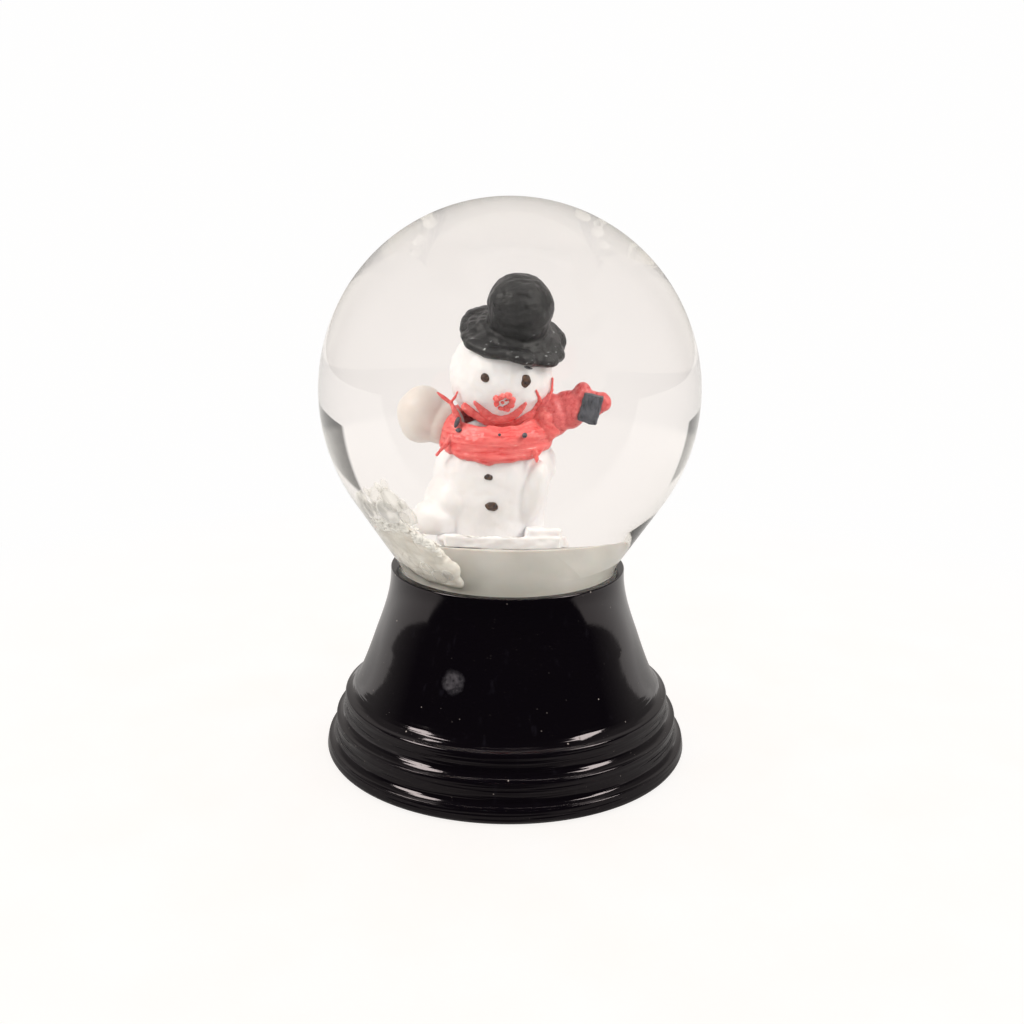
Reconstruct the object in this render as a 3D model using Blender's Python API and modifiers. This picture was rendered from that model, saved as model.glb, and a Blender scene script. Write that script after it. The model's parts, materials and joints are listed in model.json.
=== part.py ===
"""Miniature snow globe, 67 mm tall: a water-filled glass globe on a ringed black base.

A rubber stopper closes the neck of the globe and carries a painted snowman. Loose
flakes lie in the trough round the stopper and rise through the liquid when the globe
is shaken. Millimetres below are turned into metres by MM. +Z is up, and the origin is
the centre of the underside.
"""

import math

import bmesh
import bpy
from mathutils import Matrix, Vector

MM = 0.001
GAP = 0.3
FINE_GAP = 0.1

# Globe
GLOBE_RADIUS = 22.5
GLOBE_CENTRE_Z = 44.5
GLASS_WALL = 1.3
SHOULDER_ANGLE = math.radians(-33.5)
NECK_RADIUS = 12.7
NECK_BOTTOM_Z = 16.0

# Base
LIP_Z = 23.4
LIP_OUTER_RADIUS = 14.3
LIP_INNER_RADIUS = 13.3
FLARE_MIDDLE = (16.2, 15.0)
RING_A = (20.2, 7.3)
RING_B = (21.3, 4.6)
RING_C = (22.3, 1.8)
FOOT_RADIUS = 22.5
FOOT_Z = 0.2
SOCKET_RADIUS = 13.85
SHELF_Z = 13.6
SHELF_THICKNESS = 1.5
SHELF_HOLE_RADIUS = 9.0
RECESS_RADIUS = 20.3
RECESS_Z = 2.4

# Stopper and what hides underneath
STOPPER_TOP_Z = 29.9
STOPPER_TOP_RADIUS = 10.6
STOPPER_NECK_RADIUS = NECK_RADIUS - GLASS_WALL - 0.25
STOPPER_FLANGE_RADIUS = 12.7
DISC_RADIUS = RECESS_RADIUS - GAP
DISC_THICKNESS = 1.2
FELT_THICKNESS = 0.6

# Snowman
FIGURE_X = -1.1
SLAB = (-6.3, 5.2, 5.2, 2.2)
SLAB_BOTTOM_Z = STOPPER_TOP_Z + GAP
SLAB_TOP_Z = SLAB_BOTTOM_Z + SLAB[3]
BODY_BOTTOM_Z = SLAB_TOP_Z + GAP
BODY_RADIUS = 5.6
BODY_WIDEST_Z = 35.6
BODY_HALF_HEIGHT = 5.3
BODY_NECK_RADIUS = 3.5
BODY_TOP_Z = 41.15
HEAD_RADIUS = 4.6
HEAD_CENTRE = (-0.8, 0.0, 46.05)
HAT_CENTRE = (0.2, -0.4, 49.3)
HAT_PITCH = math.radians(19.0)
HAT_ROLL = math.radians(11.7)
CROWN_RADIUS = 3.05
CROWN_HEIGHT = 6.0
BRIM_RADIUS = 4.8
BRIM_THICKNESS = 1.0
SCARF_INNER_RADIUS = BODY_NECK_RADIUS + GAP
SCARF_OUTER_RADIUS = 5.5
SCARF_TOP_Z = 42.5
SCARF_BOTTOM_Z = 38.9
# Each painted feature of the face: place on the front (x, z), and radii
EYE_RIGHT = ((-2.3, 46.45), (0.42, 0.42, 0.42))
EYE_LEFT = ((1.4, 46.15), (0.5, 0.5, 0.58))
NOSE = ((-0.45, 44.4), (0.85, 0.8, 0.8))
NOSE_STANDS_OUT = 0.3
MOUTH_CENTRE = (-0.6, 43.1)
MOUTH_HALF_WIDTH = 2.5
MOUTH_CORNER_RISE = 1.1
MOUTH_THICKNESS = 0.22
BUTTON_UPPER = ((-1.85, 37.1), 0.32)
BUTTON_LOWER = ((-1.5, 34.3), 0.45)
# Solid forms of the figure: centre and radii
FOOT_LOBE = ((-6.0, -2.7, 33.9), (2.4, 2.3, 1.7))
LEG_LOBE = ((3.0, -3.0, 35.0), (1.3, 1.4, 2.7))
PLAIN_ARM = ((-8.0, 0.6, 42.5), (2.4, 2.2, 2.6))
PAINTED_ARM = ((6.1, -0.4, 43.2), (3.1, 1.7, 1.9))
PAINTED_ARM_TILT = -0.12
PATCH_CENTRE = (7.3, -2.0, 43.2)
PATCH_HALF_SIZE = (0.8, 0.45, 1.1)

# Snow
FLAKE_RADIUS = 1.0
FLAKE_THICKNESS = 0.7
FLAKE_ORBIT = 12.5
FLAKE_Z = 27.7
FLAKE_SPACING = math.radians(11.0)
# Where each group lies round the trough, and how far its rising path leans outwards
FLAKE_GROUPS = (
    ("left", math.radians(165.0), math.radians(6.0)),
    ("rear_right", math.radians(42.0), math.radians(12.0)),
    ("rear", math.radians(86.0), 0.0),
    ("rear_left", math.radians(130.0), math.radians(9.0)),
)
DRIFT_CENTRE = (-11.3, -6.8, 27.6)
DRIFT_RADII = (6.4, 6.4, 5.2)

TURN_STEPS = 48
SMALL_STEPS = 24

parts = bpy.data.collections.new("snow_globe")
cutters = bpy.data.collections.new("cutters")


def clear_scene():
    for obj in list(bpy.data.objects):
        bpy.data.objects.remove(obj)
    bpy.context.scene.collection.children.link(parts)
    bpy.context.scene.collection.children.link(cutters)


def material(name, colour, roughness, alpha=1.0, transmission=0.0, ior=1.5):
    mat = bpy.data.materials.new(name)
    mat.use_nodes = True
    shader = mat.node_tree.nodes["Principled BSDF"]
    shader.inputs["Base Color"].default_value = (*colour, 1.0)
    shader.inputs["Roughness"].default_value = roughness
    shader.inputs["Metallic"].default_value = 0.0
    shader.inputs["Alpha"].default_value = alpha
    shader.inputs["Transmission Weight"].default_value = transmission
    shader.inputs["IOR"].default_value = ior
    mat.diffuse_color = (*colour, alpha)
    return mat


def new_object(name, mesh, mat=None):
    """A part when it has a material, a cutter when it has none."""
    obj = bpy.data.objects.new(name, mesh)
    if mat:
        mesh.materials.append(mat)
        parts.objects.link(obj)
    else:
        cutters.objects.link(obj)
        obj.hide_render = True
        obj.display_type = "WIRE"
    return obj


def smooth(obj, degrees=35):
    obj.data.shade_smooth()
    obj.data.set_sharp_from_angle(angle=math.radians(degrees))


def arc(centre_r, centre_z, radius, start, end, steps):
    """Points of a circular arc in the (r, z) plane, both ends included."""
    angles = [start + (end - start) * i / steps for i in range(steps + 1)]
    return [(centre_r + radius * math.cos(a), centre_z + radius * math.sin(a)) for a in angles]


def cubic(p0, p1, p2, p3, steps):
    """Points of a cubic curve in the (r, z) plane, both ends included."""
    points = []
    for i in range(steps + 1):
        t = i / steps
        weights = ((1 - t) ** 3, 3 * t * (1 - t) ** 2, 3 * t * t * (1 - t), t**3)
        points.append(tuple(sum(w * p[k] for w, p in zip(weights, (p0, p1, p2, p3))) for k in (0, 1)))
    return points


def turned(name, profile, mat=None, closed=False, steps=TURN_STEPS, x=0.0):
    """A profile of (r, z) points, run down its outer side, turned about a vertical axis."""
    mesh = bpy.data.meshes.new(name)
    bm = bmesh.new()
    verts = [bm.verts.new((r * MM, 0.0, z * MM)) for r, z in profile]
    for first, second in zip(verts, verts[1:]):
        bm.edges.new((first, second))
    if closed:
        bm.edges.new((verts[-1], verts[0]))
    bm.to_mesh(mesh)
    bm.free()
    obj = new_object(name, mesh, mat)
    screw = obj.modifiers.new("turn", "SCREW")
    screw.axis = "Z"
    screw.steps = steps
    screw.render_steps = steps
    screw.use_merge_vertices = True
    screw.merge_threshold = 0.00001
    screw.use_smooth_shade = True
    obj.location.x = x * MM
    return obj


def ellipsoid(name, centre, radii, mat=None, segments=16, rings=10, grow=0.0, tilt=0.0):
    mesh = bpy.data.meshes.new(name)
    bm = bmesh.new()
    bmesh.ops.create_uvsphere(bm, u_segments=segments, v_segments=rings, radius=1.0)
    bmesh.ops.scale(bm, vec=Vector([(r + grow) * MM for r in radii]), verts=bm.verts)
    bmesh.ops.rotate(bm, matrix=Matrix.Rotation(tilt, 3, "Y"), verts=bm.verts)
    bm.to_mesh(mesh)
    bm.free()
    obj = new_object(name, mesh, mat)
    obj.location = Vector(centre) * MM
    smooth(obj)
    return obj


def block(name, low, high, mat=None, bevel=0.0):
    mesh = bpy.data.meshes.new(name)
    bm = bmesh.new()
    bmesh.ops.create_cube(bm, size=1.0)
    size = Vector([(h - l) * MM for l, h in zip(low, high)])
    bmesh.ops.scale(bm, vec=size, verts=bm.verts)
    bm.to_mesh(mesh)
    bm.free()
    obj = new_object(name, mesh, mat)
    obj.location = Vector([(h + l) / 2 * MM for l, h in zip(low, high)])
    if bevel:
        edge = obj.modifiers.new("edges", "BEVEL")
        edge.width = bevel * MM
        edge.segments = 2
    return obj


def boolean(obj, other, operation="DIFFERENCE"):
    modifier = obj.modifiers.new(other.name, "BOOLEAN")
    modifier.operation = operation
    modifier.solver = "EXACT"
    modifier.object = other


def cone_radius(z, offset=0.0):
    """Radius of the globe's conical shoulder at a height, moved inwards by offset."""
    top_r = GLOBE_RADIUS * math.cos(SHOULDER_ANGLE)
    top_z = GLOBE_CENTRE_Z + GLOBE_RADIUS * math.sin(SHOULDER_ANGLE)
    return top_r - (top_z - z) * math.tan(-SHOULDER_ANGLE) - offset / math.cos(SHOULDER_ANGLE)


def cone_height(radius, offset=0.0):
    """Height at which that shoulder has this radius."""
    return (radius - cone_radius(0.0, offset)) / math.tan(-SHOULDER_ANGLE)


def globe_arc(offset, steps=12):
    """From the pole down to where the sphere runs into the shoulder."""
    return arc(0.0, GLOBE_CENTRE_Z, GLOBE_RADIUS - offset, math.pi / 2, SHOULDER_ANGLE, steps)


def make_base(gloss_black, pad_felt, board):
    upper = cubic((LIP_OUTER_RADIUS, LIP_Z), (14.25, 20.6), (15.0, 18.2), FLARE_MIDDLE, 5)
    lower = cubic(FLARE_MIDDLE, (17.4, 11.8), (18.6, 8.35), RING_A, 6)
    outer = upper + lower[1:]
    for (r0, z0), (r1, z1) in ((RING_A, RING_B), (RING_B, RING_C)):
        cove = r1 - r0
        outer.append((r0, z1 + cove))
        outer += arc(r1, z1 + cove, cove, math.pi, 1.5 * math.pi, 3)[1:]
    outer += [(FOOT_RADIUS, FOOT_Z + 0.4), (FOOT_RADIUS - 0.15, FOOT_Z)]
    inner = [
        (RECESS_RADIUS, FOOT_Z),
        (RECESS_RADIUS, RECESS_Z),
        (RECESS_RADIUS - 1.2, RECESS_Z),
        (18.2, 6.0),
        (15.6, 10.0),
        (14.2, SHELF_Z - SHELF_THICKNESS),
        (SHELF_HOLE_RADIUS, SHELF_Z - SHELF_THICKNESS),
        (SHELF_HOLE_RADIUS, SHELF_Z),
        (SOCKET_RADIUS, SHELF_Z),
        (SOCKET_RADIUS, LIP_Z - 0.9),
        (LIP_INNER_RADIUS, LIP_Z - 0.9),
        (LIP_INNER_RADIUS, LIP_Z),
    ]
    turned("base_shell", outer + inner, gloss_black, closed=True)
    felt_top = FELT_THICKNESS
    turned("felt_pad", [(0, felt_top), (DISC_RADIUS, felt_top), (DISC_RADIUS, 0), (0, 0)], pad_felt)
    low = felt_top + GAP
    high = low + DISC_THICKNESS
    turned("closing_disc", [(0, high), (DISC_RADIUS, high), (DISC_RADIUS, low), (0, low)], board)


def make_globe(clear_glass, sealant):
    neck_top = cone_height(NECK_RADIUS)
    bore = NECK_RADIUS - GLASS_WALL
    outer = globe_arc(0.0) + [(NECK_RADIUS, neck_top), (NECK_RADIUS, NECK_BOTTOM_Z)]
    inner = globe_arc(GLASS_WALL) + [(bore, cone_height(bore, GLASS_WALL)), (bore, NECK_BOTTOM_Z)]
    turned("glass_globe", outer + inner[::-1], clear_glass)
    ring_in = NECK_RADIUS + GAP
    ring_out = SOCKET_RADIUS - GAP
    top = LIP_Z - 0.9 - GAP
    profile = [(ring_in, top), (ring_out, top), (ring_out, NECK_BOTTOM_Z), (ring_in, NECK_BOTTOM_Z)]
    turned("neck_sealant", profile, sealant, closed=True)


def make_stopper(off_white_rubber):
    flange_top = NECK_BOTTOM_Z - GAP
    flange_low = SHELF_Z + GAP
    profile = [
        (0, STOPPER_TOP_Z),
        (STOPPER_TOP_RADIUS - 0.3, STOPPER_TOP_Z),
        (STOPPER_TOP_RADIUS, STOPPER_TOP_Z - 0.3),
        (STOPPER_TOP_RADIUS, 23.0),
        (STOPPER_NECK_RADIUS, 20.0),
        (STOPPER_NECK_RADIUS, flange_top),
        (STOPPER_FLANGE_RADIUS, flange_top),
        (STOPPER_FLANGE_RADIUS, flange_low),
        (0, flange_low),
    ]
    turned("stopper", profile, off_white_rubber)


def make_hat(paint):
    dome = arc(0.0, CROWN_HEIGHT - CROWN_RADIUS, CROWN_RADIUS, math.pi / 2, 0.0, 5)
    brim = [
        (CROWN_RADIUS - 0.15, BRIM_THICKNESS + 0.2),
        (BRIM_RADIUS - 0.5, BRIM_THICKNESS),
        (BRIM_RADIUS, BRIM_THICKNESS / 2),
        (BRIM_RADIUS - 0.5, 0.0),
        (0.0, 0.0),
    ]
    hat = turned("hat", dome + brim, paint, steps=SMALL_STEPS)
    hat.location = Vector(HAT_CENTRE) * MM
    hat.rotation_euler = (HAT_PITCH, HAT_ROLL, 0.0)
    return hat


def on_head(x, z, out=0.0):
    """Point on the front of the head, moved out along its normal."""
    dx = x - HEAD_CENTRE[0]
    dz = z - HEAD_CENTRE[2]
    dy = -math.sqrt(HEAD_RADIUS**2 - dx * dx - dz * dz)
    scale = (HEAD_RADIUS + out) / HEAD_RADIUS
    return tuple(c + d * scale for c, d in zip(HEAD_CENTRE, (dx, dy, dz)))


def on_body(x, z):
    """Point on the front of the body."""
    radius = BODY_RADIUS * math.sqrt(1 - ((z - BODY_WIDEST_Z) / BODY_HALF_HEIGHT) ** 2)
    dx = x - FIGURE_X
    return (x, -math.sqrt(radius**2 - dx * dx), z)


def make_head(white, dots, red, hat):
    head = ellipsoid("snowman_head", HEAD_CENTRE, (HEAD_RADIUS,) * 3, white, 24, 16)
    under_hat = block("under_hat", (-8, -8, -GAP), (8, 8, 10))
    under_hat.location = Vector((0, 0, (10 - GAP) / 2)) * MM
    under_hat.parent = hat
    boolean(head, under_hat)
    features = (
        ("eye_right", EYE_RIGHT, 0.0, dots),
        ("eye_left", EYE_LEFT, 0.0, dots),
        ("nose", NOSE, NOSE_STANDS_OUT, red),
    )
    for name, (place, radii), out, mat in features:
        centre = on_head(*place, out)
        ellipsoid(name, centre, radii, mat, 12, 8)
        boolean(head, ellipsoid(name + "_seat", centre, radii, None, 12, 8, grow=FINE_GAP))
    return head


def make_mouth(red):
    """A painted stroke that runs from cheek to cheek under the nose."""
    curve = bpy.data.curves.new("mouth", "CURVE")
    curve.dimensions = "3D"
    curve.bevel_depth = MOUTH_THICKNESS * MM
    curve.bevel_resolution = 1
    curve.use_fill_caps = True
    curve.materials.append(red)
    spline = curve.splines.new("POLY")
    count = 9
    spline.points.add(count - 1)
    for i, point in enumerate(spline.points):
        t = 2 * i / (count - 1) - 1
        x = MOUTH_CENTRE[0] + MOUTH_HALF_WIDTH * t
        z = MOUTH_CENTRE[1] + MOUTH_CORNER_RISE * t * t
        point.co = (*(Vector(on_head(x, z, MOUTH_THICKNESS + FINE_GAP)) * MM), 1.0)
    obj = bpy.data.objects.new("mouth", curve)
    parts.objects.link(obj)


def make_body(white, dots):
    shoulder_z = 39.4
    start = math.asin((shoulder_z - BODY_WIDEST_Z) / BODY_HALF_HEIGHT)
    end = math.asin((BODY_BOTTOM_Z - BODY_WIDEST_Z) / BODY_HALF_HEIGHT)
    side = arc(0.0, 0.0, 1.0, start, end, 8)
    side = [(r * BODY_RADIUS, BODY_WIDEST_Z + z * BODY_HALF_HEIGHT) for r, z in side]
    neck = [(0.0, BODY_TOP_Z), (BODY_NECK_RADIUS, BODY_TOP_Z), (BODY_NECK_RADIUS, shoulder_z + 0.4)]
    body = turned("snowman_body", [*neck, *side, (0.0, BODY_BOTTOM_Z)], white, steps=SMALL_STEPS, x=FIGURE_X)
    for name, (centre, radii) in (("foot_lobe", FOOT_LOBE), ("leg_lobe", LEG_LOBE)):
        boolean(body, ellipsoid(name, centre, radii), "UNION")
    boolean(body, block("above_slab", (-12, -12, 25), (12, 12, BODY_BOTTOM_Z + 0.02)))
    for name, (place, radius) in (("button_upper", BUTTON_UPPER), ("button_lower", BUTTON_LOWER)):
        centre = on_body(*place)
        radii = (radius * 1.2, radius, radius)
        ellipsoid(name, centre, radii, dots, 12, 8)
        boolean(body, ellipsoid(name + "_seat", centre, radii, None, 12, 8, grow=FINE_GAP))


def make_scarf(red):
    profile = [
        (SCARF_INNER_RADIUS + 0.1, SCARF_TOP_Z),
        (4.7, SCARF_TOP_Z - 0.2),
        (SCARF_OUTER_RADIUS - 0.1, SCARF_TOP_Z - 1.2),
        (SCARF_OUTER_RADIUS, 40.3),
        (SCARF_OUTER_RADIUS - 0.1, SCARF_BOTTOM_Z + 0.3),
        (SCARF_OUTER_RADIUS - 0.35, SCARF_BOTTOM_Z),
        (4.75, SCARF_BOTTOM_Z + 0.8),
        (SCARF_INNER_RADIUS + 0.1, SCARF_BOTTOM_Z + 1.7),
    ]
    turned("scarf", profile, red, closed=True, steps=SMALL_STEPS, x=FIGURE_X)


def make_arms(white, red, patch_black):
    """Both arms are raised and butt against the scarf; one is painted, with a dark patch."""
    around_scarf = turned(
        "around_scarf",
        [(0, 50), (SCARF_OUTER_RADIUS + GAP, 50), (SCARF_OUTER_RADIUS + GAP, 35), (0, 35)],
        steps=SMALL_STEPS,
        x=FIGURE_X,
    )
    plain = ellipsoid("plain_arm", *PLAIN_ARM, white)
    boolean(plain, around_scarf)
    painted = ellipsoid("painted_arm", *PAINTED_ARM, red, tilt=PAINTED_ARM_TILT)
    boolean(painted, around_scarf)
    low = [c - s for c, s in zip(PATCH_CENTRE, PATCH_HALF_SIZE)]
    high = [c + s for c, s in zip(PATCH_CENTRE, PATCH_HALF_SIZE)]
    block("arm_patch", low, high, patch_black, bevel=0.15)
    grown_low = [v - FINE_GAP for v in low]
    grown_high = [v + FINE_GAP for v in high]
    boolean(painted, block("patch_seat", grown_low, grown_high))


def make_slab(white):
    left, right, half_depth, _ = SLAB
    low = (left, -half_depth, SLAB_BOTTOM_Z)
    block("figure_slab", low, (right, half_depth, SLAB_TOP_Z), white, bevel=0.4)


def make_drift(snow):
    """Settled flakes, banked up between the stopper and the wall of the globe."""
    drift = ellipsoid("snow_drift", DRIFT_CENTRE, DRIFT_RADII, snow)
    side = STOPPER_TOP_RADIUS + GAP
    wall = GLASS_WALL + GAP
    low_z = 25.0
    sphere = [p for p in globe_arc(wall) if p[1] < 42.0]
    trough = [(side, 42.0), (18.0, 42.0), *sphere, (cone_radius(low_z, wall), low_z), (side, low_z)]
    boolean(drift, turned("trough", trough, closed=True), "INTERSECT")


def make_liquid(liquid):
    """The water above the stopper's top, kept clear of the figure and the drift."""
    offset = GLASS_WALL + GAP
    low_z = STOPPER_TOP_Z + GAP
    profile = [*globe_arc(offset), (cone_radius(low_z, offset), low_z), (0.0, low_z)]
    water = turned("liquid_fill", profile, liquid)
    column = [(0, 56.7), (4.3, 56.4), (6.9, 53.0), (6.9, 37.1), (8.7, 36.1), (8.7, 28.0), (0, 28.0)]
    boolean(water, turned("figure_space", column, steps=SMALL_STEPS, x=FIGURE_X))
    boolean(water, ellipsoid("plain_arm_space", *PLAIN_ARM, grow=0.55))
    boolean(water, ellipsoid("painted_arm_space", *PAINTED_ARM, grow=0.9))
    boolean(water, ellipsoid("drift_space", DRIFT_CENTRE, DRIFT_RADII, grow=GAP + 0.1))


def make_flakes(snow):
    """Loose flakes in groups of three, each group on an empty whose Z is its sliding axis."""
    mesh = bpy.data.meshes.new("flake")
    bm = bmesh.new()
    bmesh.ops.create_cone(
        bm,
        cap_ends=True,
        segments=7,
        radius1=FLAKE_RADIUS * MM,
        radius2=FLAKE_RADIUS * 0.7 * MM,
        depth=FLAKE_THICKNESS * MM,
    )
    bm.to_mesh(mesh)
    bm.free()
    mesh.materials.append(snow)
    for group, azimuth, lean in FLAKE_GROUPS:
        axis = bpy.data.objects.new(f"flakes_{group}_axis", None)
        axis.empty_display_size = FLAKE_RADIUS * MM
        axis.matrix_world = (
            Matrix.Translation(trough_point(azimuth))
            @ Matrix.Rotation(azimuth, 4, "Z")
            @ Matrix.Rotation(lean, 4, "Y")
        )
        parts.objects.link(axis)
        for number in (1, 2, 3):
            place = azimuth + (number - 2) * FLAKE_SPACING
            flake = bpy.data.objects.new(f"flake_{group}_{number}", mesh)
            flake.parent = axis
            flake.matrix_parent_inverse = axis.matrix_world.inverted()
            flake.location = trough_point(place)
            flake.rotation_euler = (0.0, 0.0, place)
            parts.objects.link(flake)


def trough_point(azimuth):
    """Middle of the trough between the stopper and the glass."""
    across = FLAKE_ORBIT * math.cos(azimuth)
    along = FLAKE_ORBIT * math.sin(azimuth)
    return Vector((across, along, FLAKE_Z)) * MM


def main():
    clear_scene()
    gloss_black = material("gloss_black_plastic", (0.012, 0.010, 0.012), 0.12)
    clear_glass = material("clear_glass", (0.97, 0.98, 0.98), 0.0, alpha=0.25, transmission=1.0, ior=1.5)
    rubber = material("off_white_rubber", (0.66, 0.63, 0.58), 0.55)
    sealant = material("sealant", (0.72, 0.70, 0.64), 0.6)
    board = material("closing_board", (0.03, 0.03, 0.03), 0.7)
    felt = material("pad_felt", (0.02, 0.02, 0.022), 0.95)
    white = material("figure_white", (0.86, 0.83, 0.79), 0.45)
    hat_paint = material("hat_paint", (0.035, 0.035, 0.037), 0.35)
    red = material("red_paint", (0.72, 0.09, 0.07), 0.4)
    arm_red = material("dull_red_paint", (0.5, 0.10, 0.10), 0.45)
    dark = material("dark_paint", (0.04, 0.025, 0.02), 0.4)
    snow = material("flake_white", (0.85, 0.83, 0.78), 0.5)
    liquid = material("liquid", (0.98, 0.97, 0.95), 0.0, alpha=0.15, transmission=1.0, ior=1.33)
    make_base(gloss_black, felt, board)
    make_globe(clear_glass, sealant)
    make_stopper(rubber)
    make_slab(white)
    make_body(white, dark)
    make_head(white, dark, red, make_hat(hat_paint))
    make_mouth(red)
    make_scarf(red)
    make_arms(white, arm_red, dark)
    make_drift(snow)
    make_flakes(snow)
    make_liquid(liquid)


main()
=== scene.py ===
"""Looks of the miniature snow globe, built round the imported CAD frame.

Lengths in this script are millimetres until to_object() turns them into metres.
"""

import json
import random
from math import cos, pi, radians, sin, sqrt, tan

import bmesh
import bpy
from mathutils import Euler, Matrix, Vector, noise

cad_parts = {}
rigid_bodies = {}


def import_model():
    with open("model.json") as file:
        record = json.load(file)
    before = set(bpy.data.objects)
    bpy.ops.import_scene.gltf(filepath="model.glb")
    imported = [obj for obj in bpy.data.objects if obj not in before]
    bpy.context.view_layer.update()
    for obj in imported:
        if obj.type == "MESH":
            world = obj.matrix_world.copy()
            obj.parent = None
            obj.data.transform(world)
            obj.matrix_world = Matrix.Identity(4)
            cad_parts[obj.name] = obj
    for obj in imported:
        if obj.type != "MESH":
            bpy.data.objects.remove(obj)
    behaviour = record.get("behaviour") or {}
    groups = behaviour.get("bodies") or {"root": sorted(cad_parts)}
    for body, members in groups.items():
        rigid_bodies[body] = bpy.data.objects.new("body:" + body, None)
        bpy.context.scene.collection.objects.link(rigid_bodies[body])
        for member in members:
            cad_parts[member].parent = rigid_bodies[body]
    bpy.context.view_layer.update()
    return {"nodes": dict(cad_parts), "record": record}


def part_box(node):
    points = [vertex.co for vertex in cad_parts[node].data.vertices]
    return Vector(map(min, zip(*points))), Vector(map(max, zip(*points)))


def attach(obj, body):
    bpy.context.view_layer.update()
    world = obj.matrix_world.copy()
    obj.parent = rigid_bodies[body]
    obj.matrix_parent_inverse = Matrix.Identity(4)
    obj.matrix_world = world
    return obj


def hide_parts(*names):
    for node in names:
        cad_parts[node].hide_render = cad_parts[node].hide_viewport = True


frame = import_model()

MM = 0.001
GLOBE = "globe"


def span(node):
    """Lowest and highest corner of a CAD node, in millimetres."""
    low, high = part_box(node)
    return low / MM, high / MM


glass_low, glass_high = span("glass_globe")
base_low, base_high = span("base_shell")
stopper_low, stopper_high = span("stopper")
slab_low, slab_high = span("figure_slab")
head_low, head_high = span("snowman_head")

GLOBE_RADIUS = glass_high.x
GLOBE_CENTRE_Z = glass_high.z - GLOBE_RADIUS
GLASS_WALL = 1.3
SHOULDER_ANGLE = radians(-33.5)
NECK_RADIUS = 12.7
STOPPER_RADIUS = 10.6
GLASS_IOR = 1.5
WATER_IOR = 1.333

# The base's outline as (radius, height), from the lip down
LIP_Z = base_high.z
LIP_OUTER = 14.3
LIP_INNER = 13.3
FLARE_MIDDLE = (16.2, 15.0)
FLARE_END = (18.75, 8.55)
RING_A = (20.15, 7.45)
RING_B = (21.3, 4.6)
RING_C = (22.3, 1.8)
FOOT_RADIUS = base_high.x
FOOT_Z = base_low.z
SHELF_Z = 12.1
SHELF_THICKNESS = 1.5
SHELF_HOLE_RADIUS = 9.0
SOCKET_RADIUS = 13.85
RECESS_RADIUS = 20.3
RECESS_Z = 2.4

HEAD_RADIUS = (head_high.x - head_low.x) / 2
HEAD = Vector(((head_low.x + head_high.x) / 2, 0.0, head_low.z + HEAD_RADIUS))
NOSE = (-0.5, 44.25)
SLAB_FLAT_Z = slab_high.z - 0.8
HAT_PLACE = (0.2, -0.4, 49.3)
HAT_TURN = (radians(19.0), radians(11.7), 0.0)
BODY_X = -1.1
NECK_GIRTH = 5.0
# The body's side as (radius, height); the bell is flattened front to back and leans towards +X
BODY_BELL = ((0, 42.0), (2.6, 41.8), (4.2, 40.8), (5.0, 39.2), (5.25, 37.2))
BODY_BELL += ((5.2, 35.2), (5.05, 33.0), (4.95, 30.4), (0, 30.4))
BELL_DEPTH = 0.93
BELL_LEAN = 0.1
BELL_UPRIGHT_Z = 38.5

# Snow heights by azimuth in degrees from +X: the heap's crest, its underside and the wet film's top
DRIFT_TOP = ((193, 28.4), (198, 30.4), (204, 31.5), (218, 32.4))
DRIFT_TOP += ((227, 32.7), (232, 31.2), (239, 30.2), (245, 25.5))
DRIFT_BOTTOM = ((193, 27.5), (208, 25.6), (220, 24.6), (245, 24.2))
FILM_TOP = ((198, 32.2), (205, 34.0), (220, 35.6), (231, 37.4), (237, 33.0))
DRIFT_STEP = 4.0
LUMP = 1.0

PALE = (0.995, 0.992, 0.99, 1.0)
WARM = (1.0, 0.955, 0.915, 1.0)
THROUGH = (1.0, 0.945, 0.955, 1.0)
FLOOR_GLOW = 0.88
THROUGH_GLOW_NEAR = 1.0
THROUGH_GLOW_LOW = 1.05
THROUGH_GLOW_HIGH = 1.10
ROOM_GLOW = 0.012
FRONT_FILL = 0.72
SIDE_GLOW = 0.25
SWEEP_GLOW = 0.34
LAMP_AIM = Vector((0, 0, 30))
LAMP_AZIMUTH = 69
LAMP_ELEVATION = 40
LAMP_DISTANCE = 420
LAMP_SIZE = (115, 230)
LAMP_POWER = 1.28
LAMP_COLOUR = (1.0, 0.965, 0.935)
CAMERA_PLACE = Vector((0.0, -135.0, 64.57))
CAMERA_PITCH, CAMERA_YAW, CAMERA_ROLL = -14.43, -0.19, 0.80
CAMERA_LENS = 40.2


# ---- mesh helpers


def new_object(name, data):
    obj = bpy.data.objects.new(name, data)
    bpy.context.scene.collection.objects.link(obj)
    return obj


def to_object(name, bm, mat=None):
    """A smooth-shaded object from a bmesh in millimetres."""
    bmesh.ops.scale(bm, vec=(MM,) * 3, verts=bm.verts)
    mesh = bpy.data.meshes.new(name)
    bm.to_mesh(mesh)
    bm.free()
    mesh.shade_smooth()
    if mat:
        mesh.materials.append(mat)
    return new_object(name, mesh)


def add_turned(bm, profile, segments=192, closed=False, material_index=0):
    """Turns (r, z) points about the Z axis; a point at r = 0 becomes a pole."""
    rings = []
    for r, z in profile:
        count = 1 if r < 1e-6 else segments
        turn = [2 * pi * i / segments for i in range(count)]
        rings.append([bm.verts.new((r * cos(a), r * sin(a), z)) for a in turn])
    pairs = list(zip(rings, rings[1:]))
    if closed:
        pairs.append((rings[-1], rings[0]))
    for upper, lower in pairs:
        for i in range(segments):
            j = (i + 1) % segments
            if len(upper) == 1:
                corners = (upper[0], lower[i], lower[j])
            elif len(lower) == 1:
                corners = (upper[i], lower[0], upper[j])
            else:
                corners = (upper[i], lower[i], lower[j], upper[j])
            bm.faces.new(corners).material_index = material_index


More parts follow.
